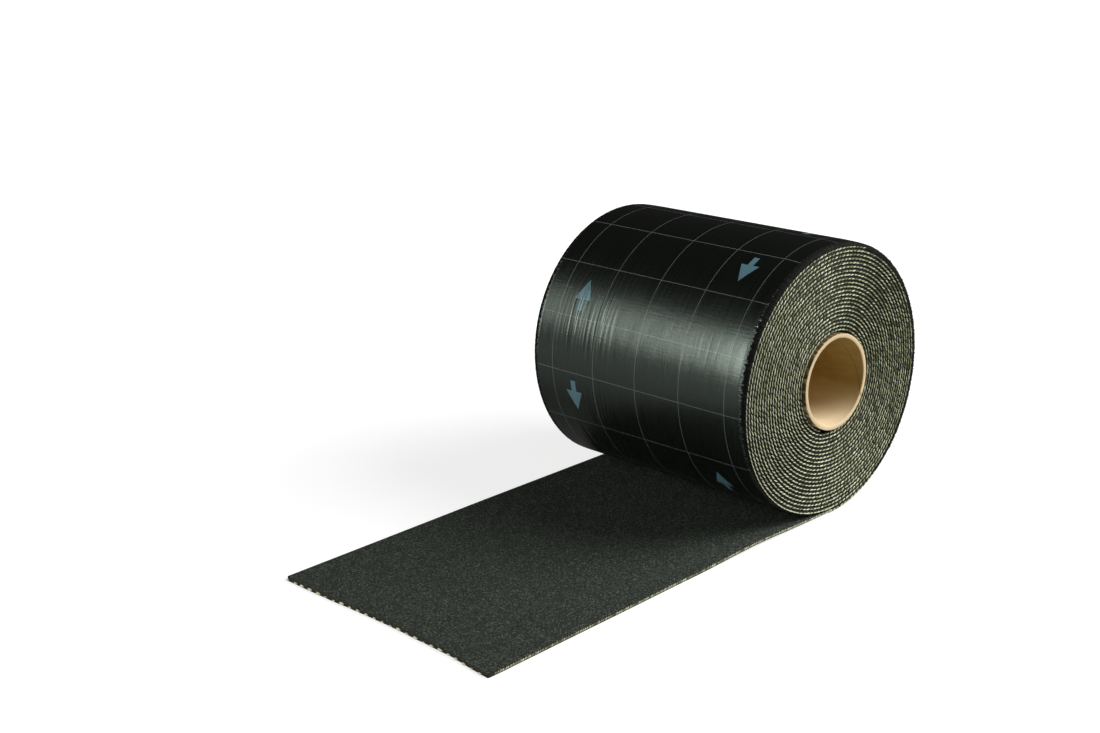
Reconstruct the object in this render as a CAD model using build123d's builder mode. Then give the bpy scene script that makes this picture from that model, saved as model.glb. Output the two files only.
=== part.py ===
from build123d import *
import math
import os

# Roll of flexible lead-free flashing on a cardboard core, its outer end unrolled on the floor.
# Millimetres, +Z up. The roll's axis runs along Y and the unrolled end lies towards -X.
# The origin is on the floor, under the middle of the whole object.

# Strip
strip_width = 246.0
strip_thickness = 3.6
turn_bedding = 0.03  # how far each turn sinks into the one under it
turn_count = 22
tail_length = 405.0  # flat on the floor, from under the roll's axis to the cut end
tail_edge_break = 0.4
tail_draw_in = 60.0  # stretch of tail in which its edges curl up to the roll's shoulder
shoulder_reach = 3.3  # the outer turn curls over at both ends of the roll, as two bevels
seam_depth = 0.9  # valley between two turns, on the ends of the roll

# Start of the strip, where the second turn climbs over its cut end
start_gap_width = 11.0
start_gap_angle = -112.0  # seen from the front, anticlockwise from +X

# Cardboard core
core_bore_diameter = 77.5
core_wall = 3.9
core_overhang = 3.5  # how far the core stands out at each end of the roll
core_edge_break = 0.4
core_clearance = 0.1

# Sizes that follow
turn_pitch = strip_thickness - turn_bedding
core_radius = core_bore_diameter / 2 + core_wall
core_length = strip_width + 2 * core_overhang
bore_radius = core_radius + core_clearance
roll_radius = bore_radius + turn_count * turn_pitch
shoulder = min(shoulder_reach, 0.92 * turn_pitch)
half_width = strip_width / 2
axis_x = (tail_length - roll_radius) / 2
tail_end_x = axis_x - tail_length
start_gap_sagitta = bore_radius - math.sqrt(bore_radius**2 - start_gap_width**2)

# The roll's outline is a four-centre spiral: each quarter turn is an arc of smaller radius,
# and its centre steps round a small square, so that the arcs stay tangent.
centre_step = turn_pitch / 4
quarter_centres = [
    Vector(axis_x, 0, roll_radius),
    Vector(axis_x + centre_step, 0, roll_radius),
    Vector(axis_x + centre_step, 0, roll_radius + centre_step),
    Vector(axis_x, 0, roll_radius + centre_step),
]
quarter_starts = [Vector(0, 0, -1), Vector(1, 0, 0), Vector(0, 0, 1), Vector(-1, 0, 0)]
winding_direction = Vector(0, -1, 0)
core_x = axis_x + centre_step / 2
core_z = roll_radius + centre_step / 2


def rounded_corner(reach):
    """A corner taken off by two equal bevels, as (depth from the film side, depth from the edge)."""
    waist = reach * (1 - math.cos(math.pi / 4))
    return [(0, reach), (waist, waist), (reach, 0)]


def end_relief(outer_radius):
    """Points across one end of the roll, inwards: a valley at each seam, a crest on each turn."""
    points = []
    for turn in range(1, turn_count + 2):
        seam_radius = outer_radius - turn * turn_pitch
        points.append((seam_radius, seam_depth - half_width))
        points.append((seam_radius - turn_pitch / 2, -half_width))
    return points


def strip_section(plane, edge_reach):
    """Cross-section of the flat strip, film side down, with its two lower corners taken off."""
    corner = [(edge - half_width, depth) for depth, edge in rounded_corner(edge_reach)]
    left_side = [(-half_width, strip_thickness)] + corner[::-1]
    right_side = [(-y, z) for y, z in reversed(left_side)]
    with BuildSketch(plane) as section:
        Polygon(*left_side, *right_side, align=None)
    return section.sketch


# The strip: its turns wound into one turned body, and the unrolled end that leaves it
with BuildPart() as flashing_strip:
    for quarter, centre in enumerate(quarter_centres):
        outer_radius = roll_radius - quarter * centre_step
        outward = quarter_starts[quarter]
        half_section_plane = Plane(
            origin=centre, x_dir=outward, z_dir=outward.cross(Vector(0, 1, 0))
        )
        relief = end_relief(outer_radius)
        innermost_radius = relief[-1][0]
        corner = [
            (outer_radius - depth, edge - half_width) for depth, edge in rounded_corner(shoulder)
        ]
        with BuildSketch(half_section_plane):
            with BuildLine():
                Polyline(
                    (innermost_radius, 0), (outer_radius, 0), *corner, *relief, (innermost_radius, 0)
                )
            make_face()
            mirror(about=Plane.XZ)
        revolve(axis=Axis(centre, winding_direction), revolution_arc=90)

    # Unrolled end: flat strip, then a stretch whose lower edges curl up to the shoulder
    tail_stations = [
        (tail_end_x, tail_edge_break),
        (axis_x - tail_draw_in, tail_edge_break),
        (axis_x, shoulder),
    ]
    loft([strip_section(Plane.YZ.offset(x), reach) for x, reach in tail_stations], ruled=True)

    # Bore for the core, and the gap beside the strip's inner end
    with BuildSketch(Plane.XZ):
        with Locations((core_x, core_z)):
            Circle(bore_radius)
            with PolarLocations(bore_radius, 1, start_angle=start_gap_angle):
                Polygon((0, 0), (strip_thickness, 0), (-start_gap_sagitta, start_gap_width), align=None)
    extrude(amount=strip_width, both=True, mode=Mode.SUBTRACT)

flashing_strip.part.label = "flashing_strip"

# The core: a paper tube that stands out a little at both ends
with BuildPart() as cardboard_core:
    with BuildSketch(Plane.XZ):
        with Locations((core_x, core_z)):
            Circle(core_radius)
            Circle(core_bore_diameter / 2, mode=Mode.SUBTRACT)
    extrude(amount=core_length / 2, both=True)
    outer_rims = cardboard_core.edges().filter_by(GeomType.CIRCLE).group_by(SortBy.RADIUS)[-1]
    chamfer(outer_rims, core_edge_break)

cardboard_core.part.label = "cardboard_core"

os.makedirs("parts", exist_ok=True)
export_step(flashing_strip.part, "parts/flashing_strip.step")
export_step(cardboard_core.part, "parts/cardboard_core.step")
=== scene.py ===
import math
from functools import partial

import bmesh
import bpy
import numpy as np
from mathutils import Matrix, Vector


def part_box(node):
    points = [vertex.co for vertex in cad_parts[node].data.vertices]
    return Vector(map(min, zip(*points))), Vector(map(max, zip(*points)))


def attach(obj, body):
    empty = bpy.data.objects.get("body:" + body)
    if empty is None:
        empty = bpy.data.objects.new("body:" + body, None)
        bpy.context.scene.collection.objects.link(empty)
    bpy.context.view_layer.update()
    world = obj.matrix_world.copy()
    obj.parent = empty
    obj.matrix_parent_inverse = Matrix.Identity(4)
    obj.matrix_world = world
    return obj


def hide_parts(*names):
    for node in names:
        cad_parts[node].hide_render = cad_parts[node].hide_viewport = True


# A roll of flexible lead-free flashing on its cardboard core, with the outer end unrolled flat.
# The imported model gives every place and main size; this script gives the wound ends, the film,
# the granules and the core their finish. Metres, +Z up; the roll's axis runs along Y.
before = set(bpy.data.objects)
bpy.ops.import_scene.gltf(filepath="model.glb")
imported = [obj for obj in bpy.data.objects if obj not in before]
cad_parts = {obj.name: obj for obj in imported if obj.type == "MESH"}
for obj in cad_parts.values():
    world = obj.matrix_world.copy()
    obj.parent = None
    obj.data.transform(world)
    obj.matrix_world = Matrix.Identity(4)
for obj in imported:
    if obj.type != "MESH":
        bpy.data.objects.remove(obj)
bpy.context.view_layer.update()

MM = 0.001
FULL_TURN = 2 * math.pi

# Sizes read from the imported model
strip_low, strip_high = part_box("flashing_strip")
core_low, core_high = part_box("cardboard_core")
core_x = (core_low.x + core_high.x) / 2
core_z = (core_low.z + core_high.z) / 2
core_radius = (core_high.x - core_low.x) / 2
half_width = strip_high.y
outline_step = core_z - strip_high.z / 2  # the winding's outline shrinks by this each quarter turn
turn_pitch = 4 * outline_step
outer_radius = core_z  # at the bottom of the roll, where the outer turn leaves for the floor
bore_radius = core_radius + 0.1 * MM
print_radius = 120.1 * MM  # the print on the outer turn is spaced as on this radius
print_shift = 2.3 * MM  # the print lies this far off the strip's middle, towards the front
tail_end_x = strip_low.x
strip_thickness = 3.6 * MM

# The winding as the ends show it. Angles run from the bottom of the roll, anticlockwise
# seen from the front, and turns are counted inwards from 0, the outer turn.
turn_count = 22
line_radius_outside = 119.7 * MM  # the outer turn's mesh line, at the bottom
line_pitch = 3.47 * MM
dent_depth = 2.65 * MM  # the turns lie deeper on the side that faces the unrolled end
dent_angle = math.radians(227)
dent_spread = math.radians(63)
dent_fade = 0.55  # share of the dent that is lost by the innermost turn
dent_at_back = 0.15  # share of the dent that the back end shows
# Unevenness of the outer turns round the roll, as (degrees, millimetres outwards)
uneven_angles = [0, 30, 60, 90, 130, 160, 190, 220, 250, 290, 320, 350, 360]
uneven_turns = [0.55, 0.57, -0.2, 0, 0, -0.4, -0.6, -0.1, 0.2, 0.6, 0.65, 0.5, 0.55]
# and of the film over them, in front and behind, where it stands off the winding
film_angles = [0, 60, 110, 150, 180, 210, 250, 290, 320, 345, 360]
film_in_front = [0, 0.2, 0.5, 1.1, 1.1, 0.8, 0.6, 0.4, 0.3, 0, 0]
film_behind = [0, 0.2, 0.3, 0.3, 0.6, 1.6, 2.6, 2.8, 2.4, 0.8, 0]
# How far the film folds down over the outer turn's edge
fold_angles = [20, 50, 90, 150, 164]
fold_depths = [0.1, 2.8, 3.8, 3.0, 0.1]
strip_start_angle = math.radians(338)  # the strip's inner end, with a gap beside it
start_gap_spread = math.radians(15)
start_step = 1.3 * MM


def start_lift(angle):
    """How the strip's inner end lifts the turns over it: 1 just before the end, 0 beyond the gap."""
    past_end = np.clip((angle - strip_start_angle) / start_gap_spread, 0, 1)
    before_end = 0.5 + 0.5 * np.cos(np.clip((strip_start_angle - angle) / 2.4, 0, math.pi))
    return np.where(angle > strip_start_angle, 1 - past_end, before_end)


def dent(angle):
    """The stretch of the roll where the turns' ends lie deeper, 0 to 1."""
    return np.exp(-(np.abs(angle - dent_angle) / dent_spread) ** 4)


def line_radius(turn, angle, side):
    """Radius of the mesh line that each turn shows on an end: side is -1 in front, 1 behind."""
    inwards = np.clip(turn / (turn_count - 1), 0, 1.05)
    depth = dent_depth * np.where(np.asarray(side) < 0, 1, dent_at_back)
    radius = line_radius_outside - line_pitch * (turn + angle / FULL_TURN)
    radius -= depth * dent(angle) * (1 - dent_fade * inwards**2)
    radius += (1 - inwards) * np.interp(np.degrees(angle), uneven_angles, uneven_turns) * MM
    radius += start_step * inwards**3 * (start_lift(angle) - 0.35)
    return radius


def film_radius(angle, across):
    """Radius of the outer turn's film, clear of its edges."""
    degrees = np.degrees(angle)
    front_share = np.clip(0.5 - across / (2 * half_width), 0, 1)
    stands_off = front_share * np.interp(degrees, film_angles, film_in_front)
    stands_off = stands_off + (1 - front_share) * np.interp(degrees, film_angles, film_behind)
    return outer_radius - turn_pitch * angle / FULL_TURN + stands_off * MM


# Helpers that put a finished mesh in the scene


def add_object(name, data):
    """A new object with this mesh, lamp or lens, linked into the scene."""
    added = bpy.data.objects.new(name, data)
    bpy.context.scene.collection.objects.link(added)
    return added


def add_piece(name, mesh, material, node="flashing_strip"):
    """A finished piece: its object stays at the origin, rides on the body and stands for its node."""
    mesh.name = name
    piece = add_object(name, mesh)
    mesh.materials.append(material)
    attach(piece, "root")
    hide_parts(node)


def mesh_from(bm, sharp_angle=math.radians(50)):
    """The bmesh as a mesh with outward normals, smooth except at creases over the sharp angle."""
    bmesh.ops.recalc_face_normals(bm, faces=bm.faces)
    mesh = bpy.data.meshes.new("finished")
    bm.to_mesh(mesh)
    bm.free()
    mesh.shade_smooth()
    mesh.set_sharp_from_angle(angle=sharp_angle)
    return mesh


def spin_profile(points, steps, closed):
    """Spins (radius, across) points one open turn about the core, starting at the bottom.

    Returns the bmesh, its vertices, and for each of them its point in the profile and its angle.
    """
    bm = bmesh.new()
    number_of = bm.verts.layers.int.new("profile_point")
    profile = []
    for number, (radius, across) in enumerate(points):
        vert = bm.verts.new((core_x, across, core_z - radius))
        vert[number_of] = number
        profile.append(vert)
    following = profile[1:] + profile[:1] if closed else profile[1:]
    edges = [bm.edges.new(pair) for pair in zip(profile, following)]
    spun = bmesh.ops.spin(
        bm,
        geom=profile + edges,
        cent=(core_x, 0, core_z),
        axis=(0, -1, 0),
        angle=FULL_TURN,
        steps=steps,
        use_merge=False,
    )
    last = {vert for vert in spun["geom_last"] if isinstance(vert, bmesh.types.BMVert)}
    bm.verts.ensure_lookup_table()
    verts = list(bm.verts)
    numbers = np.array([vert[number_of] for vert in verts])
    turned = np.array([math.atan2(v.co.x - core_x, core_z - v.co.z) for v in verts])
    rounding = 1e-4
    angles = (turned + rounding) % FULL_TURN - rounding
    angles[[vert in last for vert in verts]] = FULL_TURN
    return bm, verts, numbers, np.clip(angles, 0, FULL_TURN)


def move(verts, x, y, z):
    """Moves vertices to their places."""
    for vert, place in zip(verts, np.stack([x, y, z], axis=1).tolist()):
        vert.co = place


def place_round_core(verts, radii, across, angles):
    """Moves vertices to their radius and angle about the core, and their place across the strip."""
    move(verts, core_x + radii * np.sin(angles), across, core_z - radii * np.cos(angles))


def set_strip_uv(mesh, along, across):
    """A UV map in metres: along the strip from under the roll's axis, and across it."""
    layer = mesh.uv_layers.new(name="strip")
    corners = np.zeros(len(mesh.loops), dtype=np.int32)
    mesh.loops.foreach_get("vertex_index", corners)
    layer.uv.foreach_set("vector", np.stack([along, across], axis=1)[corners].ravel())


def wander(values, seed, octaves):
    """Smooth seeded noise of about -1 to 1 along values, from sines of the given wavelengths."""
    generator = np.random.default_rng(seed)
    total = np.zeros_like(values, dtype=float)
    for wavelength in octaves:
        phase = generator.uniform(0, FULL_TURN, 2)
        total += np.sin(values * FULL_TURN / wavelength + phase[0])
        total += np.sin(values * FULL_TURN / (wavelength * 1.37) + phase[1])
    return total / (2 * len(octaves))


# Materials


def linear(hex_colour):
    """An sRGB hex colour as the linear RGBA that Blender's sockets take."""
    channels = [int(hex_colour[i : i + 2], 16) / 255 for i in (1, 3, 5)]
    return [c / 12.92 if c <= 0.04045 else ((c + 0.055) / 1.055) ** 2.4 for c in channels] + [1.0]


def feed(node, inputs):
    """Gives a node its inputs, by name or in their order: each is a constant, an output socket, or
    another node, which stands for its first output."""
    for socket, value in inputs.items() if isinstance(inputs, dict) else enumerate(inputs):
        if isinstance(value, bpy.types.Node):
            value = value.outputs[0]
        if isinstance(value, bpy.types.NodeSocket):
            node.id_data.links.new(value, node.inputs[socket])
        else:
            node.inputs[socket].default_value = value


def add_node(tree, kind, inputs=(), tones=(), **settings):
    """Adds a shader node with its inputs and settings; its kind is given without "ShaderNode".
    Tones are the stops of a colour ramp, as (position, sRGB hex)."""
    node = tree.nodes.new("ShaderNode" + kind)
    for name, value in settings.items():
        setattr(node, name, value)
    feed(node, inputs)
    stops = node.color_ramp.elements if tones else ()
    while len(stops) < len(tones):
        stops.new(1.0)
    for stop, (position, tone) in zip(stops, tones):
        stop.position = position
        stop.color = linear(tone)
    return node


def new_material(name, roughness, ior=1.5, **constants):
    """A material with its Principled shader, and the function that adds nodes to it; constants
    are set on the shader's own sockets."""
    material = bpy.data.materials.new(name)
    material.use_nodes = True
    shader = material.node_tree.nodes["Principled BSDF"]
    shader.inputs["Roughness"].default_value = roughness
    shader.inputs["IOR"].default_value = ior
    for socket, value in constants.items():
        shader.inputs[socket.replace("_", " ")].default_value = value
    return material, shader, partial(add_node, material.node_tree)


def drawn_noise(add, strip_map, along, across, **inputs):
    """Noise on the strip's map, its grain drawn out to these lengths along and across the strip."""
    grain_space = add("VectorMath", [strip_map, (1 / along, 1 / across, 1.0)], operation="MULTIPLY")
    return add("TexNoise", {"Vector": grain_space, "Scale": 1.0, **inputs})


def laid_over(add, base, layers):
    """The base colour with each layer's colour laid over it, by the layer's mask."""
    for mask, tone in layers:
        base = add(
            "Mix", {"Factor": mask, "A": base, "B": linear(tone)}, data_type="RGBA"
        ).outputs["Result"]
    return base


def printed_grid(add, along, across):
    """Mask of the measuring grid printed on the film: 50 mm squares in thin lines."""
    square, line_width, first_line = 50 * MM, 0.5 * MM, 19.75 * MM
    to_line = []
    for place, start in ((along, first_line), (across, -print_shift)):
        shifted = add("Math", [place, start], operation="SUBTRACT")
        to_line.append(add("Math", [shifted, square / 2], operation="PINGPONG"))
    nearest = add("Math", [to_line[0], to_line[1]], operation="MINIMUM")
    return add(
        "MapRange", {"Value": nearest, "From Min": line_width * 0.7, "From Max": line_width * 0.25}
    )


def printed_arrows(add, along, across):
    """Mask of the arrows printed on the film, in two staggered columns, and in pairs that point
    away from each other. Each is drawn by its half-width, from how far it is to the pair's
    nearer tip."""
    repeat, stagger, column = 303 * MM, 151.5 * MM, 75.4 * MM
    first_tip, between_tips = 29.3 * MM, 122.8 * MM
    head_length, shaft_end = 19.3 * MM, 29.5 * MM
    head_slope, shaft_half, soft_edge = 0.5, 3 * MM, 0.3 * MM

    left_column = add("Math", [across, 0.0], operation="GREATER_THAN")
    staggered = add("Math", [left_column, -stagger, along], operation="MULTIPLY_ADD")
    from_tip = add("Math", [staggered, first_tip], operation="SUBTRACT")
    in_repeat = add("Math", [from_tip, repeat], operation="FLOORED_MODULO")
    off_middle = add("Math", [in_repeat, between_tips / 2], operation="SUBTRACT")
    from_middle = add("Math", [off_middle], operation="ABSOLUTE")
    to_tip = add("Math", [between_tips / 2, from_middle], operation="SUBTRACT")
    in_head = add("Math", [to_tip, head_length], operation="LESS_THAN")
    in_arrow = add("Math", [to_tip, shaft_end], operation="LESS_THAN")
    head = add("Math", [to_tip, head_slope], operation="MULTIPLY")
    shaft = add("Math", [in_arrow, shaft_half], operation="MULTIPLY")
    arrow_half = add("Mix", {"Factor": in_head, "A": shaft, "B": head})

    shifted = add("Math", [across, print_shift], operation="ADD")
    print_side = add("Math", [shifted], operation="ABSOLUTE")
    off_column = add("Math", [print_side, column], operation="SUBTRACT")
    off_centre = add("Math", [off_column], operation="ABSOLUTE")
    inside = add("Math", [arrow_half, off_centre], operation="SUBTRACT")
    return add("MapRange", {"Value": inside, "From Max": soft_edge})


def release_film():
    """Black polyethylene release film: a soft sheen drawn out along fine lengthwise drag lines,
    and gathered into short creases where it turns over the strip's edges."""
    material, shader, add = new_material(
        "polyethylene_release_film",
        roughness=0.31,
        ior=1.6,
        Specular_IOR_Level=0.8,
        Specular_Tint=(0.82, 1.0, 0.86, 1.0),
    )
    strip_map = add("UVMap", uv_map="strip")
    along, across, _ = add("SeparateXYZ", [strip_map]).outputs

    # Drag lines 1.4 mm apart along the strip, slow swells, and fine lines pressed across it
    streaks = drawn_noise(add, strip_map, 62.5 * MM, 1.42857 * MM, Detail=3.0, Roughness=0.6)
    swells = drawn_noise(add, strip_map, 45.4545 * MM, 11.1111 * MM)
    pressed = drawn_noise(add, strip_map, 1.785714 * MM, 22.2222 * MM)

    # Wrinkles 5 mm apart in a band where the film is drawn in
    band_middle, band_reach, band_full = 64 * MM, 46 * MM, 10 * MM
    wrinkles = drawn_noise(add, strip_map, 76.923 * MM, 4.65116 * MM, Detail=1.0, Distortion=0.6)
    off_band = add("Math", [across, band_middle], operation="SUBTRACT")
    from_band = add("Math", [off_band], operation="ABSOLUTE")
    in_band = add(
        "MapRange",
        {"Value": from_band, "From Min": band_reach, "From Max": band_full},
        interpolation_type="SMOOTHSTEP",
    )
    wrinkle_height = add("Math", [wrinkles, in_band], operation="MULTIPLY")

    # Creases 2 mm apart that run out over the edge; there the film is dull, with frayed fibres
    crease_start, crease_full = half_width - 7.5 * MM, half_width - 1.5 * MM
    creases = drawn_noise(add, strip_map, 1.923077 * MM, 9.0909 * MM, Roughness=0.7)
    side = add("Math", [across], operation="ABSOLUTE")
    near_edge = add("MapRange", {"Value": side, "From Min": crease_start, "From Max": crease_full})
    creased = add("Math", [creases, 1.6, near_edge], operation="MULTIPLY_ADD")
    fringe = add(
        "MapRange",
        {"Value": creased, "From Min": 1.25, "From Max": 1.5},
        interpolation_type="SMOOTHSTEP",
    )
    crease_height = add("Math", [creases, near_edge], operation="MULTIPLY")
    fibre_ends = add("MapRange", {"Value": crease_height, "From Min": 0.52, "From Max": 0.62})

    haze = add(
        "MapRange", {"Value": streaks, "From Min": 0.3, "From Max": 0.7, "To Min": 0.26, "To Max": 0.36}
    )
    dull = add("Math", [fringe, 0.3, haze], operation="MULTIPLY_ADD")
    colour = laid_over(
        add,
        linear("#0A0B08"),
        [
            (fibre_ends, "#3A3C30"),
            (printed_grid(add, along, across), "#787D82"),
            (printed_arrows(add, along, across), "#648A98"),
        ],
    )
    # Each relief as its height, strength and depth, laid on the one before
    reliefs = [
        (streaks, 0.35, 0.22 * MM),
        (swells, 0.5, 0.7 * MM),
        (pressed, 0.4, 0.2 * MM),
        (wrinkle_height, 0.8, 1.2 * MM),
        (crease_height, 1.0, 2.0 * MM),
    ]
    under = {}
    for height, strength, depth in reliefs:
        relief = {"Height": height, "Strength": strength, "Distance": depth, **under}
        under = {"Normal": add("Bump", relief)}
    feed(shader, {"Base Color": colour, "Roughness": dull, **under})
    return material


def frayed_film():
    """The same film where it is gathered over the strip's edge: dull, creased and frayed, with
    pale fibre ends standing in it."""
    material, shader, add = new_material(
        "frayed_film_edge", roughness=0.8, ior=1.4, Specular_IOR_Level=0.3
    )
    strip_map = add("UVMap", uv_map="strip")
    # Creases about 2 mm apart, run out across the edge
    creases = drawn_noise(add, strip_map, 1.785714 * MM, 6.25 * MM, Detail=4.0, Roughness=0.75)
    colour = add("ValToRGB", [creases], tones=[(0.44, "#040503"), (0.6, "#11120C"), (0.74, "#4E5042")])
    bump = add("Bump", {"Height": creases, "Distance": 1.2 * MM})
    feed(shader, {"Base Color": colour, "Normal": bump})
    return material


def filled_compound():
    """Filled polymer compound, cut through: dark green-black and dull, with torn fine grain."""
    material, shader, add = new_material("cut_filled_compound", roughness=0.8, ior=1.4)
    place = add("TexCoord").outputs["Object"]
    grain = add("TexNoise", {"Vector": place, "Scale": 1 / (1.2 * MM), "Detail": 4.0})
    colour = add("ValToRGB", [grain], tones=[(0.35, "#0E1407"), (0.75, "#2E371A")])
    bump = add("Bump", {"Height": grain, "Strength": 0.6, "Distance": 0.4 * MM})
    feed(shader, {"Base Color": colour, "Normal": bump})
    return material


def mesh_yarn():
    """Cut ends of the coated reinforcing mesh: pale cream strokes, some soiled by the compound, each
    with its own tone, into which painted light is laid.
    """
    material, shader, add = new_material("coated_mesh_ends", roughness=0.5)
    place = add("TexCoord").outputs["Object"]
    soil = add("TexNoise", {"Vector": place, "Scale": 1 / (14 * MM), "Detail": 5.0, "Roughness": 0.65})
    # Each stroke's tone holds its own tone and the painted light round the roll's ends
    stroke = add("Attribute", attribute_name="stroke_tone").outputs["Fac"]
    cleanness_and_painted_light = add("Math", [soil, 0.35, stroke], operation="MULTIPLY_ADD")
    colour = add("ValToRGB", [cleanness_and_painted_light], tones=[(0.05, "#6C7050"), (0.24, "#CDD1A8"), (0.48, "#FFFFE0")])
    feed(shader, {"Base Color": colour})
    return material


def mineral_granules():
    """Fine mineral granules pressed into the strip's upper side: matt green-black, mottled, a
    few pale; the cut sides show the bare brown-black compound."""
    material, shader, add = new_material("mineral_granules", roughness=0.85)
    place = add("TexCoord").outputs["Object"]
    # The granules are drawn a little coarser than real ones, so that they show
    grain_size, mottle_size = 0.9 * MM, 2.0 * MM
    grains = add("TexVoronoi", {"Vector": place, "Scale": 1 / grain_size})
    grain_tone = add("SeparateColor", [grains.outputs["Color"]])
    mottle = add("TexNoise", {"Vector": place, "Scale": 1 / mottle_size, "Detail": 3.0})
    blended = add("Mix", {"Factor": 0.3, "A": grain_tone.outputs["Red"], "B": mottle})
    colour = add(
        "ValToRGB",
        [blended],
        tones=[(0.15, "#0E130D"), (0.45, "#212820"), (0.7, "#384137"), (0.88, "#6E7868")],
    )
    # How far the surface faces up tells the upper side from the cut sides
    outward = add("NewGeometry").outputs["Normal"]
    facing = add("SeparateXYZ", [outward])
    on_top = add("MapRange", {"Value": facing.outputs["Z"], "From Min": 0.15, "From Max": 0.4})
    side_tone = laid_over(add, linear("#1E1A0E"), [(grain_tone.outputs["Green"], "#544C34")])
    sided = add(
        "Mix", {"Factor": on_top, "A": side_tone, "B": colour}, data_type="RGBA"
    ).outputs["Result"]
    height = add("Math", [grains.outputs["Distance"], -1.0], operation="MULTIPLY")
    bump = add("Bump", {"Height": height, "Strength": 0.9, "Distance": 0.7 * MM})
    feed(shader, {"Base Color": sided, "Normal": bump})
    return material


def wound_cardboard():
    """Kraft paper wound into a tube: warm tan pulp, plies on its rims, a darker spiral seam."""
    material, shader, add = new_material("wound_kraft_cardboard", roughness=0.75)
    place = add("TexCoord").outputs["Object"]
    about_core = add("VectorMath", [place, (core_x, 0, core_z)], operation="SUBTRACT")
    x, y, z = add("SeparateXYZ", [about_core]).outputs
    flat = add("VectorMath", [about_core, (1, 0, 1)], operation="MULTIPLY")
    radius = add("VectorMath", [flat], operation="LENGTH").outputs["Value"]
    plies = add(
        "TexNoise", {"W": radius, "Scale": 1 / (0.8 * MM), "Detail": 1.0}, noise_dimensions="1D"
    )
    fibre_space = add("VectorMath", [place, (1.0, 0.2, 1.0)], operation="MULTIPLY")
    fibres = add(
        "TexNoise", {"Vector": fibre_space, "Scale": 1 / (4 * MM), "Detail": 6.0, "Roughness": 0.65}
    )
    blend = add("Mix", {"Factor": 0.35, "A": fibres, "B": plies})
    pulp = add("ValToRGB", [blend], tones=[(0.3, "#A58845"), (0.65, "#BEA05C")])

    # Painted light, paler towards the bottom of the tube where light falls into the bore, and the paler
    # cut rims
    from_middle = add("Math", [y], operation="ABSOLUTE")
    rim_start, rim_full = core_high.y - 1.0 * MM, core_high.y - 0.5 * MM
    rim = add(
        "MapRange", {"Value": from_middle, "From Min": rim_start, "From Max": rim_full, "To Max": 0.75}
    )
    painted_light_below = add("MapRange", {"Value": z, "From Min": -11 * MM, "From Max": -36 * MM})
    pale = add("Math", [rim, painted_light_below], operation="MAXIMUM")

    # Where one winding of the paper meets the next: a line that climbs the tube
    climb = 95 * MM
    turned = add("Math", [x, z], operation="ARCTAN2")
    climbed = add("Math", [turned, climb / FULL_TURN, y], operation="MULTIPLY_ADD")
    to_seam = add("Math", [climbed, climb / 2], operation="PINGPONG")
    seam = add(
        "MapRange", {"Value": to_seam, "From Min": 0.9 * MM, "From Max": 0.3 * MM, "To Max": 0.45}
    )

    # Painted shade: the outermost ply is painted dark in blotches, for the shaded outer wall where the
    # tube stands out of the roll
    patches = add(
        "MapRange", {"Value": fibres, "From Min": 0.4, "From Max": 0.5, "To Min": 0.1, "To Max": 0.9}
    )
    ply_start, ply_full = core_radius - 0.5 * MM, core_radius - 0.1 * MM
    painted_shade_ply = add(
        "MapRange", {"Value": radius, "From Min": ply_start, "From Max": ply_full, "To Max": patches}
    )
    colour = laid_over(add, pulp, [(pale, "#F8E0B6"), (seam, "#7A5A30"), (painted_shade_ply, "#33270F")])
    bump = add("Bump", {"Height": fibres, "Strength": 0.3, "Distance": 0.3 * MM})
    feed(shader, {"Base Color": colour, "Normal": bump})
    return material


film = release_film()
film_edge = frayed_film()
compound = filled_compound()
mesh_ends = mesh_yarn()
granules = mineral_granules()
cardboard = wound_cardboard()

# The wound turns, with their seams on both ends

seam_depth = 0.9 * MM
film_cover = 0.3 * MM  # the turns stay this far under the film
# Across one turn, from its outer seam: share of the pitch, and share of the seam's depth
turn_relief = [(0.0, 1.0), (0.13, 0.4), (0.3, 0.08), (0.5, 0.0), (0.7, 0.08), (0.87, 0.4)]
gap_depth = 14 * MM


def turn_spread(turn, angle):
    """How far one turn's end rises and falls across the roll, inwards from the strip's edge."""
    along = turn + angle / FULL_TURN
    return 0.35 * MM * (0.5 + 0.5 * wander(along, 4, (0.31, 1.7, 4.1)))


def wound_turns():
    """The body of the roll: all turns as one solid, ridged on both ends, with the start gap."""
    stations = [
        (turn + share, depth * seam_depth)
        for turn in range(turn_count)
        for share, depth in turn_relief
    ] + [(turn_count, seam_depth)]
    front = [(outer_radius - turns * turn_pitch, -half_width) for turns, depth in stations]
    back = [(radius, half_width) for radius, across in reversed(front)]
    bm, verts, numbers, angles = spin_profile(front + back, steps=288, closed=True)

    last_station = len(stations) - 1
    is_back = numbers > last_station
    station = np.where(is_back, 2 * last_station + 1 - numbers, numbers)
    turns = np.array([turns for turns, depth in stations])[station]
    depths = np.array([depth for turns, depth in stations])[station]
    line = np.floor(turns)
    side = np.where(is_back, 1, -1)
    radii = line_radius(turns - 0.5, angles, side)
    under_film = film_radius(angles, side * half_width) - film_cover
    radii = np.clip(radii, bore_radius, under_film)
    past_start = (angles > strip_start_angle) & (turns > turn_count - 1) & (turns < turn_count)
    depths = depths + turn_spread(line, angles)
    depths = np.where(past_start, gap_depth, depths)
    across = side * (half_width - depths)
    place_round_core(verts, radii, across, angles)
    bmesh.ops.remove_doubles(bm, verts=bm.verts, dist=0.02 * MM)
    open_edges = [edge for edge in bm.edges if edge.is_boundary]
    bmesh.ops.holes_fill(bm, edges=open_edges)
    return mesh_from(bm)


# The film round the outer turn, crimped where it is drawn in over the roll's shoulders

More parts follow.
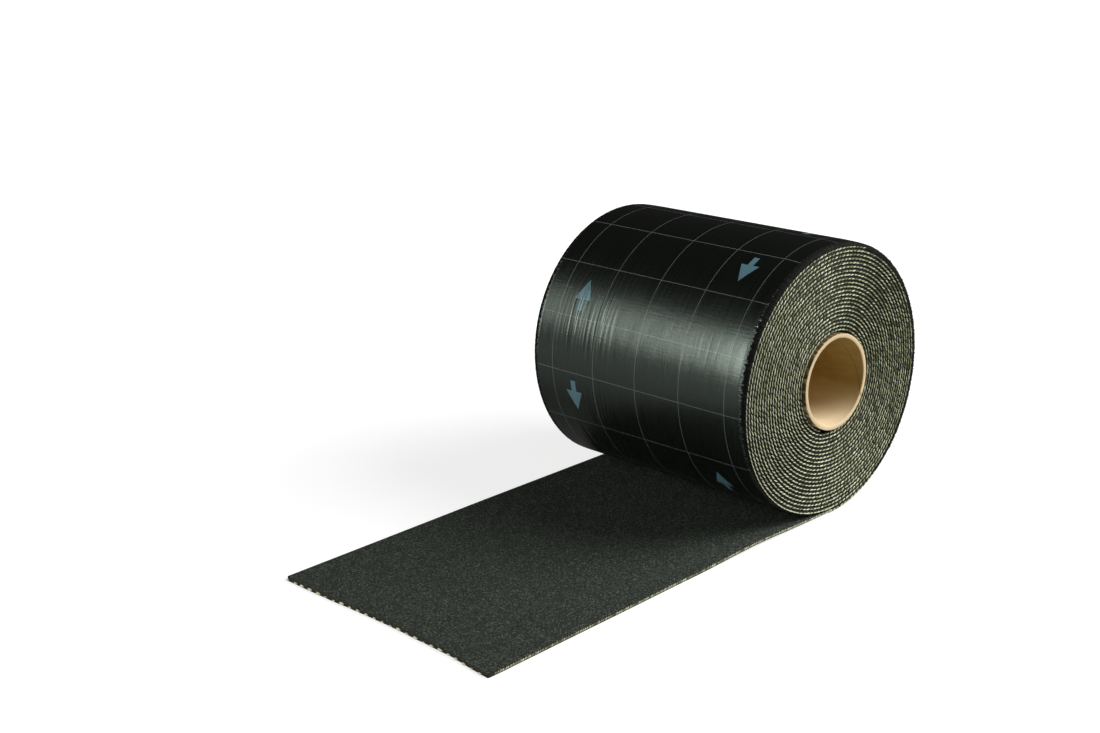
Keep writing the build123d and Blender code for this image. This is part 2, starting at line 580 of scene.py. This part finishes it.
rim_over_line = 1.1 * MM  # the film's rim lies this far outside the outer turn's mesh line
crimp_reach = 7 * MM
crimp_depth = 0.22 * MM
draw_reach = 22 * MM
fold_stands_proud = 0.15 * MM


def rim_draw(angle, side):
    """How far the film slopes down towards a rim before it turns over it."""
    depth = np.where(np.asarray(side) < 0, 1.5 * MM, 0.3 * MM)
    return 0.25 * MM + depth * dent(angle)


def rim_corner(angle, side):
    """Radius of the turn that the film makes over the strip's edge."""
    rim = line_radius(np.zeros_like(angle), angle, side) + rim_over_line
    edge_radius = film_radius(angle, side * half_width) - rim_draw(angle, side)
    return np.clip(edge_radius - rim, 1.0 * MM, 3.4 * MM)


def fold_over(angle):
    """How far the film folds down over the strip's edge: the whole turn where the strip lies
    over its own end, little near the floor and on the side towards the unrolled end."""
    return np.interp(np.degrees(angle), fold_angles, fold_depths) * MM


def outer_film(edges):
    """The film round the roll as a sheet, from fold to fold, finely crimped near both rims. Its
    gathered edges are one piece, and the smooth film between them another.

    Returns the mesh, and its vertices' places along and across the strip.
    """
    # Each row's place: down the fold, round the corner, or a distance in from the corner
    rows = (
        [("fold", share) for share in (1.0, 0.66, 0.33)]
        + [("corner", math.radians(a)) for a in (0, 22.5, 45, 67.5, 90)]
        + [("flat", d * MM) for d in (0.8, 1.7, 2.7, 3.9, 5.3, 7, 9, 11.5, 15, 20, 35, 55)]
    )
    # Spun with the rows evenly apart, and then moved to their places
    half_profile = [(outer_radius, -half_width + 0.5 * MM * n) for n in range(len(rows))]
    points = half_profile + [(outer_radius, 0)] + [(r, -y) for r, y in reversed(half_profile)]
    bm, verts, numbers, angles = spin_profile(points, steps=900, closed=False)

    middle = len(rows)
    side = np.sign(numbers - middle)
    row = np.where(numbers > middle, 2 * middle - numbers, numbers)
    fold, corner = fold_over(angles), rim_corner(angles, side)
    along = angles * print_radius
    inset = np.full(len(verts), half_width)
    lowered = np.zeros(len(verts))
    for number, (kind, value) in enumerate(rows):
        here = row == number
        if kind == "fold":
            inset[here] = 0
            lowered[here] = corner[here] + fold[here] * value
        elif kind == "corner":
            inset[here] = corner[here] * (1 - math.cos(value))
            lowered[here] = corner[here] * (1 - math.sin(value))
        else:
            inset[here] = corner[here] + value
    lowered += rim_draw(angles, side) * np.clip(1 - inset / draw_reach, 0, 1) ** 2
    near_rim = np.clip(1 - inset / crimp_reach, 0, 1)
    crimps = wander(along + side * 0.003, 11, (4.1 * MM, 5.3 * MM, 8.7 * MM))
    ragged = wander(along + side * 0.007, 12, (2.9 * MM, 4.1 * MM, 9 * MM))
    lowered += crimp_depth * near_rim * (1 + crimps)
    lowered += np.where(row == 0, 0.15 * fold * ragged, 0)
    proud = np.where(inset < 0.1 * MM, fold_stands_proud, 0)
    radii = film_radius(angles, side * (half_width - inset)) - lowered
    place_round_core(verts, radii, side * (half_width + proud - inset), angles)

    # Parted along a ragged line that runs from row to row, 1 to 5 mm in from the corner
    mean_row, row_swing, first_row, last_row = 9.6, 2.4, 8, 12
    tatters = wander(along + side * 0.011, 13, (2.3 * MM, 3.7 * MM, 6.1 * MM))
    parting = np.clip(np.round(mean_row + row_swing * tatters), first_row, last_row)
    bm.verts.index_update()
    kept = np.zeros(len(verts), dtype=bool)
    left_out = []
    for face in bm.faces:
        places = [vert.index for vert in face.verts]
        if (row[places].max() <= parting[places].min()) == edges:
            kept[places] = True
        else:
            left_out.append(face)
    bmesh.ops.delete(bm, geom=left_out, context="FACES")
    return mesh_from(bm), along[kept], (side * (half_width - inset))[kept]


# Cut ends of the mesh: one slanted stroke at a time, as on a twisted cord

stroke_pitch = 5.1 * MM
stroke_length = 5.0 * MM
stroke_width = 1.25 * MM
stroke_height = 1.2 * MM
stroke_slant = math.radians(10)
small_share = 0.15  # of the gaps between full strokes, how many show a smaller one
smooth_from = math.radians(292)  # from this angle on, the outer turn's line is drawn out smooth
side_change = (0.14, -0.27, 0)  # share by which strokes are longer and finer on the roll's sides
# Painted light: the strokes' tones are painted palest towards this angle round the roll, and darkest
# opposite it
painted_light_angle = math.radians(300)
hidden_by_fold = 1.2 * MM  # a deeper fold covers the outer turn's strokes
fibre_pitch = 1.5 * MM
fibre_size = (2.2 * MM, 0.6 * MM, 0.9 * MM)


def mesh_stroke():
    """One cut end of the mesh as a low dome, closed below: unit size, lying on XY."""
    bm = bmesh.new()
    bmesh.ops.create_uvsphere(bm, u_segments=8, v_segments=4, radius=0.5)
    cut = bmesh.ops.bisect_plane(
        bm,
        geom=bm.verts[:] + bm.edges[:] + bm.faces[:],
        plane_co=(0, 0, -0.05),
        plane_no=(0, 0, -1),
        clear_outer=True,
    )
    rim = [edge for edge in cut["geom_cut"] if isinstance(edge, bmesh.types.BMEdge)]
    bmesh.ops.contextual_create(bm, geom=rim)
    bmesh.ops.recalc_face_normals(bm, faces=bm.faces)
    return bm


def repeated(bm, places, tones):
    """One joined mesh with a copy of the bmesh at each 4x4 place, each with its own tone."""
    bm.verts.index_update()
    unit = np.array([(*vert.co, 1.0) for vert in bm.verts])
    corners = np.array([vert.index for face in bm.faces for vert in face.verts])
    sizes = np.array([len(face.verts) for face in bm.faces])
    bm.free()
    count = len(places)
    placed = np.einsum("nij,vj->nvi", np.array(places), unit)[:, :, :3]
    mesh = bpy.data.meshes.new("repeated")
    mesh.vertices.add(count * len(unit))
    mesh.vertices.foreach_set("co", placed.ravel())
    mesh.loops.add(count * len(corners))
    copies = np.arange(count)[:, None]
    mesh.loops.foreach_set("vertex_index", (corners + copies * len(unit)).ravel())
    mesh.polygons.add(count * len(sizes))
    starts = np.concatenate([[0], np.cumsum(sizes)[:-1]])
    mesh.polygons.foreach_set("loop_start", (starts + copies * len(corners)).ravel())
    mesh.update(calc_edges=True)
    tone = mesh.attributes.new("stroke_tone", "FLOAT", "POINT")
    tone.data.foreach_set("value", np.repeat(tones, len(unit)).astype(np.float32))
    mesh.shade_smooth()
    return mesh


def stroke_places(centres, long_axes, normals, sizes):
    """4x4 places for strokes, from their centres, long axes, the ways they face, and their
    lengths, widths and heights."""
    places = np.zeros((len(centres), 4, 4))
    places[:, :3, 0] = long_axes * sizes[:, 0:1]
    places[:, :3, 1] = np.cross(normals, long_axes) * sizes[:, 1:2]
    places[:, :3, 2] = normals * sizes[:, 2:3]
    places[:, :3, 3] = centres
    places[:, 3, 3] = 1
    return places


def twisted_line(length, generator, pitch=stroke_pitch):
    """Strokes along a line of the mesh, one full stroke a pitch: their distances, sizes, slants
    and tones. Between two full strokes there may be a smaller, duller one."""
    full = np.arange(0, length, pitch)
    full = full + generator.normal(0, 0.2 * MM, len(full))
    small = full + pitch / 2 + generator.normal(0, 0.15 * MM, len(full))
    small = small[generator.random(len(small)) < small_share]
    distances = np.concatenate([full, small])
    is_full = np.arange(len(distances)) < len(full)
    scale = generator.normal(1, 0.08, len(distances)) * np.where(is_full, 1, 0.5)
    sizes = scale[:, None] * np.array([stroke_length, stroke_width, stroke_height])
    slants = stroke_slant + generator.normal(0, 0.06, len(distances))
    tones = generator.normal(0.08, 0.1, len(distances)) - np.where(is_full, 0, 0.25)
    return distances, sizes, slants, tones


def round_core(angle):
    """Unit vectors that point out from the core, and onwards round it, at these angles."""
    outward = np.stack([np.sin(angle), 0 * angle, -np.cos(angle)], axis=1)
    forward = np.stack([np.cos(angle), 0 * angle, np.sin(angle)], axis=1)
    return outward, forward


def line_strokes(side, generator):
    """Places and tones of the strokes along every turn on one end of the roll."""
    # The line's length from the bottom, sampled every degree, gives each stroke its turn and angle
    winding = np.radians(np.arange(360 * turn_count + 1))
    sampled = line_radius_outside - line_pitch * winding / FULL_TURN
    lengths = np.concatenate([[0], np.cumsum((sampled[1:] + sampled[:-1]) / 2 * np.diff(winding))])
    distances, sizes, slants, tones = twisted_line(lengths[-1], generator)
    wound = np.interp(distances, lengths, winding)
    turn = np.floor(wound / FULL_TURN)
    angle = wound - turn * FULL_TURN
    radius = line_radius(turn, angle, side)

    # The outer line is drawn out smooth and grey where the strip nears its own end
    smooth = (turn == 0) & (angle > smooth_from)
    slants = np.where(smooth, 0.04, slants)
    sizes[smooth, 0] *= 1.2
    # On the roll's sides the strokes are finer, and run together into a line
    to_side = np.sin(angle) ** 2
    sizes *= 1 + to_side[:, None] * np.array(side_change)
    # Painted light: the strokes are painted paler towards the lower left as seen from the front, and
    # darker towards the upper right
    tones = np.where(smooth, 0.08, tones) + 0.09 * np.cos(angle - painted_light_angle)
    tones = tones + 0.07 * to_side

    past_start = (turn == turn_count - 1) & (angle > strip_start_angle)
    folded = (turn == 0) & (fold_over(angle) > hidden_by_fold)
    shown = (radius > bore_radius + 0.9 * MM) & ~past_start & ~folded
    outward, forward = round_core(angle)
    normal = np.tile([0.0, side, 0.0], (len(angle), 1))
    long_axis = forward * np.cos(slants)[:, None] - outward * np.sin(slants)[:, None]
    depth = half_width - turn_spread(turn, angle)
    centres = np.array([core_x, 0, core_z]) + outward * radius[:, None] + normal * depth[:, None]
    return stroke_places(centres, long_axis, normal, sizes)[shown], tones[shown]


def fold_fibres(side, generator):
    """Places and tones of the frayed fibres that stand out where the outer turn is folded over."""
    angle = np.arange(math.radians(45), math.radians(150), fibre_pitch / outer_radius)
    angle = angle + generator.normal(0, 0.003, len(angle))
    outward, forward = round_core(angle)
    normal = outward * 0.8 + np.array([0, side * 0.6, 0])
    lean = generator.normal(0.2, 0.5, len(angle))[:, None]
    inwards = np.array([0, side * 0.8, 0]) - outward * 0.6
    long_axis = inwards * np.cos(lean) + forward * np.sin(lean)
    corner = rim_corner(angle, side)
    radius = film_radius(angle, side * half_width) - rim_draw(angle, side)
    radius = radius - 0.5 * corner + generator.normal(0, 0.2, len(angle)) * MM
    centres = np.array([core_x, 0, core_z]) + outward * radius[:, None]
    centres[:, 1] = side * (half_width - 0.25 * corner)
    sizes = generator.normal(1, 0.25, len(angle))[:, None] * np.array(fibre_size)
    tones = generator.normal(-0.02, 0.15, len(angle))
    return stroke_places(centres, long_axis, normal, sizes), tones


def wound_strokes(side, seed):
    """All strokes on one end of the roll; side is -1 for the front, 1 for the back."""
    generator = np.random.default_rng(seed)
    line_places, line_tones = line_strokes(side, generator)
    fibre_places, fibre_tones = fold_fibres(side, generator)
    return repeated(
        mesh_stroke(),
        np.concatenate([line_places, fibre_places]),
        np.concatenate([line_tones, fibre_tones]),
    )


# The unrolled end of the strip

tail_edge_break = 0.4 * MM
tail_draw_in = 60 * MM
shoulder = 3.3 * MM
tail_length = core_x - tail_end_x
film_thickness = 0.12 * MM
rough_reach = 50 * MM  # the stretch in which the rough cut end fades out of the strip
tail_line_height = 1.65 * MM  # of the mesh line on the long edges
tail_line_rise = 0.24  # of how much the worn edge grows towards the roll
tail_slant = math.radians(22)  # on top of the slant on the roll's ends
tail_stroke_size = (0.56, 1.3, 0.8)  # times a stroke on the roll's ends
wire_pitch = 9.9 * MM
wire_size = (4.6 * MM, 1.8 * MM, 1.8 * MM)
wire_clearance = 0.2 * MM


def edge_drift(distance, side):
    """How far a long edge wanders towards the front, by its distance from under the axis."""
    if side < 0:
        return np.interp(distance / MM, [190, 262, 335, 395], [0, 1.8, 3.3, 4.8]) * MM
    return np.interp(distance / MM, [190, 300, 400], [0, 1.2, 2.2]) * MM


def tail_lift(distance, across):
    """The strip keeps a little of its curl: its front edge clears the floor before the roll."""
    reach, front_share = 190 * MM, np.clip(0.5 - across / (2 * half_width), 0, 1)
    return 2.5 * MM * front_share * np.sin(math.pi * np.clip(distance, 0, reach) / reach) ** 2


def cut_reach(across):
    """How far the roughly cut end stands out beyond its mean line."""
    places = [-123, -115, -97, -79, -26, -8, 28, 46, 64, 99, 123]
    reaches = [4.6, 4.2, 2.4, 0.4, -0.4, -0.8, 0.2, 0.9, 2.0, 2.9, 3.2]
    return np.interp(across / MM, places, reaches) * MM + 0.25 * MM * wander(
        across, 41, (6 * MM, 11 * MM, 23 * MM)
    )


def edge_reach(distance):
    """Size of the strip's worn lower edges, which grow into the roll's shoulder near the axis."""
    near_roll = np.clip(1 - distance / tail_draw_in, 0, 1)
    return tail_edge_break + (shoulder - tail_edge_break) * near_roll


def slab_grid(stations, columns, levels):
    """A closed slab as a grid: its bmesh, vertices, and their shares along, across and up."""
    bm = bmesh.new()
    bmesh.ops.create_grid(bm, x_segments=stations, y_segments=columns, size=0.5)
    grown = bmesh.ops.extrude_face_region(bm, geom=bm.faces[:])
    raised = [part for part in grown["geom"] if isinstance(part, bmesh.types.BMVert)]
    bmesh.ops.translate(bm, vec=(0, 0, 1), verts=raised)
    for level in levels:
        bmesh.ops.bisect_plane(
            bm,
            geom=bm.verts[:] + bm.edges[:] + bm.faces[:],
            plane_co=(0, 0, level),
            plane_no=(0, 0, 1),
        )
    verts = bm.verts[:]
    shares = np.array([vert.co for vert in verts])
    return bm, verts, shares[:, 0] + 0.5, shares[:, 1] * 2, shares[:, 2]


def place_tail(verts, distance, across, height):
    """Moves vertices to their place in the unrolled end, with its drift, lift and rough cut."""
    front_share = 0.5 - across / (2 * half_width)
    drift = edge_drift(distance, -1) * front_share + edge_drift(distance, 1) * (1 - front_share)
    to_cut = np.clip(1 - (tail_length - distance) / rough_reach, 0, 1)
    x = core_x - distance - cut_reach(across) * to_cut
    move(verts, x, across - drift, height + tail_lift(distance, across))


def unrolled_end():
    """The flat strip, granules up, its edges softened and its end roughly cut."""
    columns = 96
    bm, verts, along, across_share, level = slab_grid(150, columns, (0.25, 0.5, 0.75))
    distance = tail_length * (1 - along)
    edge_column = 3.6 * MM
    inner = 1 - 2 / columns
    on_side = np.abs(across_share) > 0.999
    on_cut = along < 0.001
    across = np.where(
        on_side, half_width * across_share, (half_width - edge_column) * across_share / inner
    )
    height = film_thickness + (strip_thickness - film_thickness) * level

    # Round the long edges: how far in and how high each level of the side lies
    reach = edge_reach(distance)
    break_top = 0.3 * MM
    levels = [0, 0.25, 0.5, 0.75, 1]
    insets = [reach, 0.29 * reach, 0 * reach, 0 * reach, break_top + 0 * reach]
    under_top = np.maximum(reach, strip_thickness - break_top)
    heights = [0 * reach, 0.29 * reach, reach, under_top, strip_thickness + 0 * reach]
    for value, inset, raised in zip(levels, insets, heights):
        here = on_side & (np.abs(level - value) < 0.01)
        across = np.where(here, np.sign(across) * (half_width - inset), across)
        height = np.where(here, np.maximum(raised, film_thickness), height)
    # and the cut end, which is torn a little between its levels
    cut_insets = np.interp(level, levels, [0.5 * MM, 0.1 * MM, 0, 0.1 * MM, 0.4 * MM])
    torn = 0.35 * MM * wander(across, 43, (4 * MM, 7 * MM)) * (level < 0.9)
    rounding = np.where(on_side, 1.2 * MM, 0)
    distance = np.where(on_cut, distance - cut_insets - torn - rounding, distance)
    place_tail(verts, distance, across, height)
    return mesh_from(bm)


def unrolled_film():
    """The release film under the unrolled end, with the film's own map carried on."""
    bm, verts, along, across_share, level = slab_grid(150, 40, ())
    distance = tail_length * (1 - along)
    across = across_share * (half_width - edge_reach(distance) - 0.1 * MM)
    place_tail(verts, distance, across, film_thickness * level)
    return mesh_from(bm), -distance, across


def edge_strokes(side, generator):
    """Places and tones of the strokes along one long edge: half as long as on the roll's ends,
    and more slanted."""
    distance, sizes, slants, tones = twisted_line(tail_length - 2 * MM, generator, stroke_pitch / 2)
    slants = slants + tail_slant
    height = tail_line_height + tail_line_rise * (edge_reach(distance) - tail_edge_break)
    height = height + tail_lift(distance, side * half_width)
    across = side * half_width - edge_drift(distance, side)
    centres = np.stack([core_x - distance, across, height], axis=1)
    onwards, up = np.array([1.0, 0, 0]), np.array([0, 0, 1.0])
    long_axis = np.cos(slants)[:, None] * onwards + np.sin(slants)[:, None] * up
    normal = np.tile([0.0, side, 0.0], (len(distance), 1))
    places = stroke_places(centres, long_axis, normal, sizes * np.array(tail_stroke_size))
    return places, tones - 0.04


def cut_wires(generator):
    """Places and tones of the mesh's wires, cut through along the strip's end."""
    across = np.arange(-half_width + 4 * MM, half_width - 3 * MM, wire_pitch)
    across = across + generator.normal(0, 0.4 * MM, len(across))
    x = tail_end_x - cut_reach(across) - 0.3 * MM
    sizes = np.clip(generator.normal(1, 0.2, len(across)), 0.6, 1.4)[:, None] * np.array(wire_size)
    centres = np.stack([x, across, wire_clearance + sizes[:, 1] / 2], axis=1)
    normal = np.tile([-1.0, 0.0, 0.0], (len(across), 1))
    long_axis = np.tile([0.0, 1.0, 0.0], (len(across), 1))
    tones = generator.normal(0.3, 0.1, len(across))
    return stroke_places(centres, long_axis, normal, sizes), tones


def tail_strokes(seed):
    """The mesh at the unrolled end: twisted lines on both long edges, wires in the cut end."""
    generator = np.random.default_rng(seed)
    placed = [edge_strokes(side, generator) for side in (-1, 1)] + [cut_wires(generator)]
    places, tones = zip(*placed)
    return repeated(mesh_stroke(), np.concatenate(places), np.concatenate(tones))


# The cardboard core


def paper_tube():
    """The core: a wound paper tube with softly broken rims."""
    bm = bmesh.new()
    wall = 3.9 * MM
    steps = 144
    half_length = core_high.y
    outer, inner = core_radius, core_radius - wall
    rims = []
    for radius in (inner, outer):
        circle = bmesh.ops.create_circle(bm, segments=steps, radius=radius)
        turn = Matrix.Rotation(math.pi / 2, 4, "X")
        bmesh.ops.transform(bm, matrix=turn, verts=circle["verts"])
        bmesh.ops.translate(bm, vec=(core_x, -half_length, core_z), verts=circle["verts"])
        rims.append({edge for vert in circle["verts"] for edge in vert.link_edges})
    ring = bmesh.ops.bridge_loops(bm, edges=list(rims[0] | rims[1]))
    tube = bmesh.ops.extrude_face_region(bm, geom=ring["faces"])
    pulled = [part for part in tube["geom"] if isinstance(part, bmesh.types.BMVert)]
    bmesh.ops.translate(bm, vec=(0, 2 * half_length, 0), verts=pulled)
    sharp = [edge for edge in bm.edges if edge.calc_face_angle(0) > math.radians(60)]
    bmesh.ops.bevel(
        bm,
        geom=sharp,
        offset=0.5 * MM,
        offset_type="OFFSET",
        affect="EDGES",
        segments=2,
        profile=0.5,
        material=-1,
    )
    return mesh_from(bm)


add_piece("wound_turns", wound_turns(), compound)
for name, material in (("outer_film", film), ("outer_film_edges", film_edge)):
    film_mesh, film_along, film_across = outer_film(edges=material is film_edge)
    set_strip_uv(film_mesh, film_along, film_across)
    add_piece(name, film_mesh, material)
add_piece("mesh_ends_front", wound_strokes(-1, 21), mesh_ends)
add_piece("mesh_ends_back", wound_strokes(1, 22), mesh_ends)
add_piece("mesh_ends_unrolled", tail_strokes(23), mesh_ends)
add_piece("unrolled_end", unrolled_end(), granules)
film_mesh, film_along, film_across = unrolled_film()
set_strip_uv(film_mesh, film_along, film_across)
add_piece("unrolled_film", film_mesh, film)
add_piece("paper_core", paper_tube(), cardboard, node="cardboard_core")

# Stage, light and camera


def white_floor():
    """A pale floor that the camera sees as white, and that keeps the object's shadow."""
    bm = bmesh.new()
    bmesh.ops.create_grid(bm, x_segments=1, y_segments=1, size=20.0)
    mesh = bpy.data.meshes.new("studio_floor")
    bm.to_mesh(mesh)
    bm.free()
    floor = add_object("studio_floor", mesh)
    material = bpy.data.materials.new("pale_paper_floor")
    material.use_nodes = True
    material.node_tree.nodes.clear()
    add = partial(add_node, material.node_tree)
    seen = add("LightPath").outputs["Is Camera Ray"]
    paper = add("BsdfDiffuse", {"Color": linear("#B9B9B9")})
    place = add("TexCoord").outputs["Object"]
    distance = add("VectorMath", [place], operation="LENGTH").outputs["Value"]
    brighter = add(
        "MapRange",
        {"Value": distance, "From Min": 0.3, "From Max": 0.9, "To Min": 0.74, "To Max": 1.0},
        interpolation_type="SMOOTHSTEP",
    )
    glow = add("Emission", {"Color": (1, 1, 1, 1), "Strength": brighter})
    lit_white = add("AddShader", [paper, glow])
    mixed = add("MixShader", [seen, paper, lit_white])
    add("OutputMaterial", {"Surface": mixed})
    mesh.materials.append(material)


def studio_world():
    """Soft grey from the front, dark behind, and plain white where the camera looks past the floor."""
    world = bpy.data.worlds.new("studio")
    bpy.context.scene.world = world
    world.use_nodes = True
    world.node_tree.nodes.clear()
    add = partial(add_node, world.node_tree)
    seen = add("LightPath").outputs["Is Camera Ray"]
    direction = add("TexCoord").outputs["Generated"]
    depth = add("SeparateXYZ", [direction]).outputs["Y"]
    front = add(
        "MapRange",
        {"Value": depth, "From Min": 0.35, "From Max": -0.6, "To Min": 0.02, "To Max": 0.08},
        interpolation_type="SMOOTHSTEP",
    )
    light = add("Background", {"Color": (1, 1, 1, 1), "Strength": front})
    white = add("Background", {"Color": (1, 1, 1, 1)})
    mixed = add("MixShader", [seen, light, white])
    add("OutputWorld", {"Surface": mixed})


def softbox(name, direction, distance, size, radiance):
    """A rectangular softbox that faces the roll from the given direction."""
    width, height = size
    lamp = bpy.data.lights.new(name, "AREA")
    lamp.shape = "RECTANGLE"
    lamp.size, lamp.size_y = width, height
    lamp.energy = radiance * math.pi * width * height
    box = add_object(name, lamp)
    towards = Vector(direction).normalized()
    box.location = Vector((core_x * 0.3, 0, 0.1)) + towards * distance
    box.rotation_mode = "QUATERNION"
    box.rotation_quaternion = towards.to_track_quat("Z", "Y")


def camera():
    """The camera at the photograph's viewing angle, its lens fitted to the roll's perspective."""
    azimuth, elevation, roll = (math.radians(a) for a in (-43.47, 17.79, -1.89))
    distance, right_shift, up_shift = 1571.72 * MM, -157.11 * MM, -10.0 * MM
    image_width, focal_pixels, sensor = 1100, 1733.27, 36.0
    back = Vector(
        (
            math.sin(azimuth) * math.cos(elevation),
            -math.cos(azimuth) * math.cos(elevation),
            math.sin(elevation),
        )
    )
    level_right = Vector((math.cos(azimuth), math.sin(azimuth), 0))
    level_up = back.cross(level_right)
    right = level_right * math.cos(roll) + level_up * math.sin(roll)
    up = level_up * math.cos(roll) - level_right * math.sin(roll)
    lens = bpy.data.cameras.new("photo_camera")
    lens.sensor_width = sensor
    lens.lens = focal_pixels / image_width * sensor
    seen_from = add_object("photo_camera", lens)
    aim = Vector((core_x - outline_step / 2, 0, 120 * MM))
    eye = aim + back * distance + right * right_shift + up * up_shift
    turned = Matrix((right, up, back)).transposed().to_4x4()
    seen_from.matrix_world = Matrix.Translation(eye) @ turned
    bpy.context.scene.camera = seen_from


white_floor()
studio_world()
softbox("rim_light", direction=(-0.68, 0.64, 0.36), distance=2.4, size=(1.3, 1.0), radiance=1.36)
softbox("edge_light", direction=(-0.86, 0.36, 0.36), distance=2.4, size=(0.9, 1.0), radiance=6.7)
softbox("key_light", direction=(0.66, -0.66, 0.72), distance=2.0, size=(1.2, 1.2), radiance=9.6)
camera()
bpy.context.scene.view_settings.view_transform = "Standard"
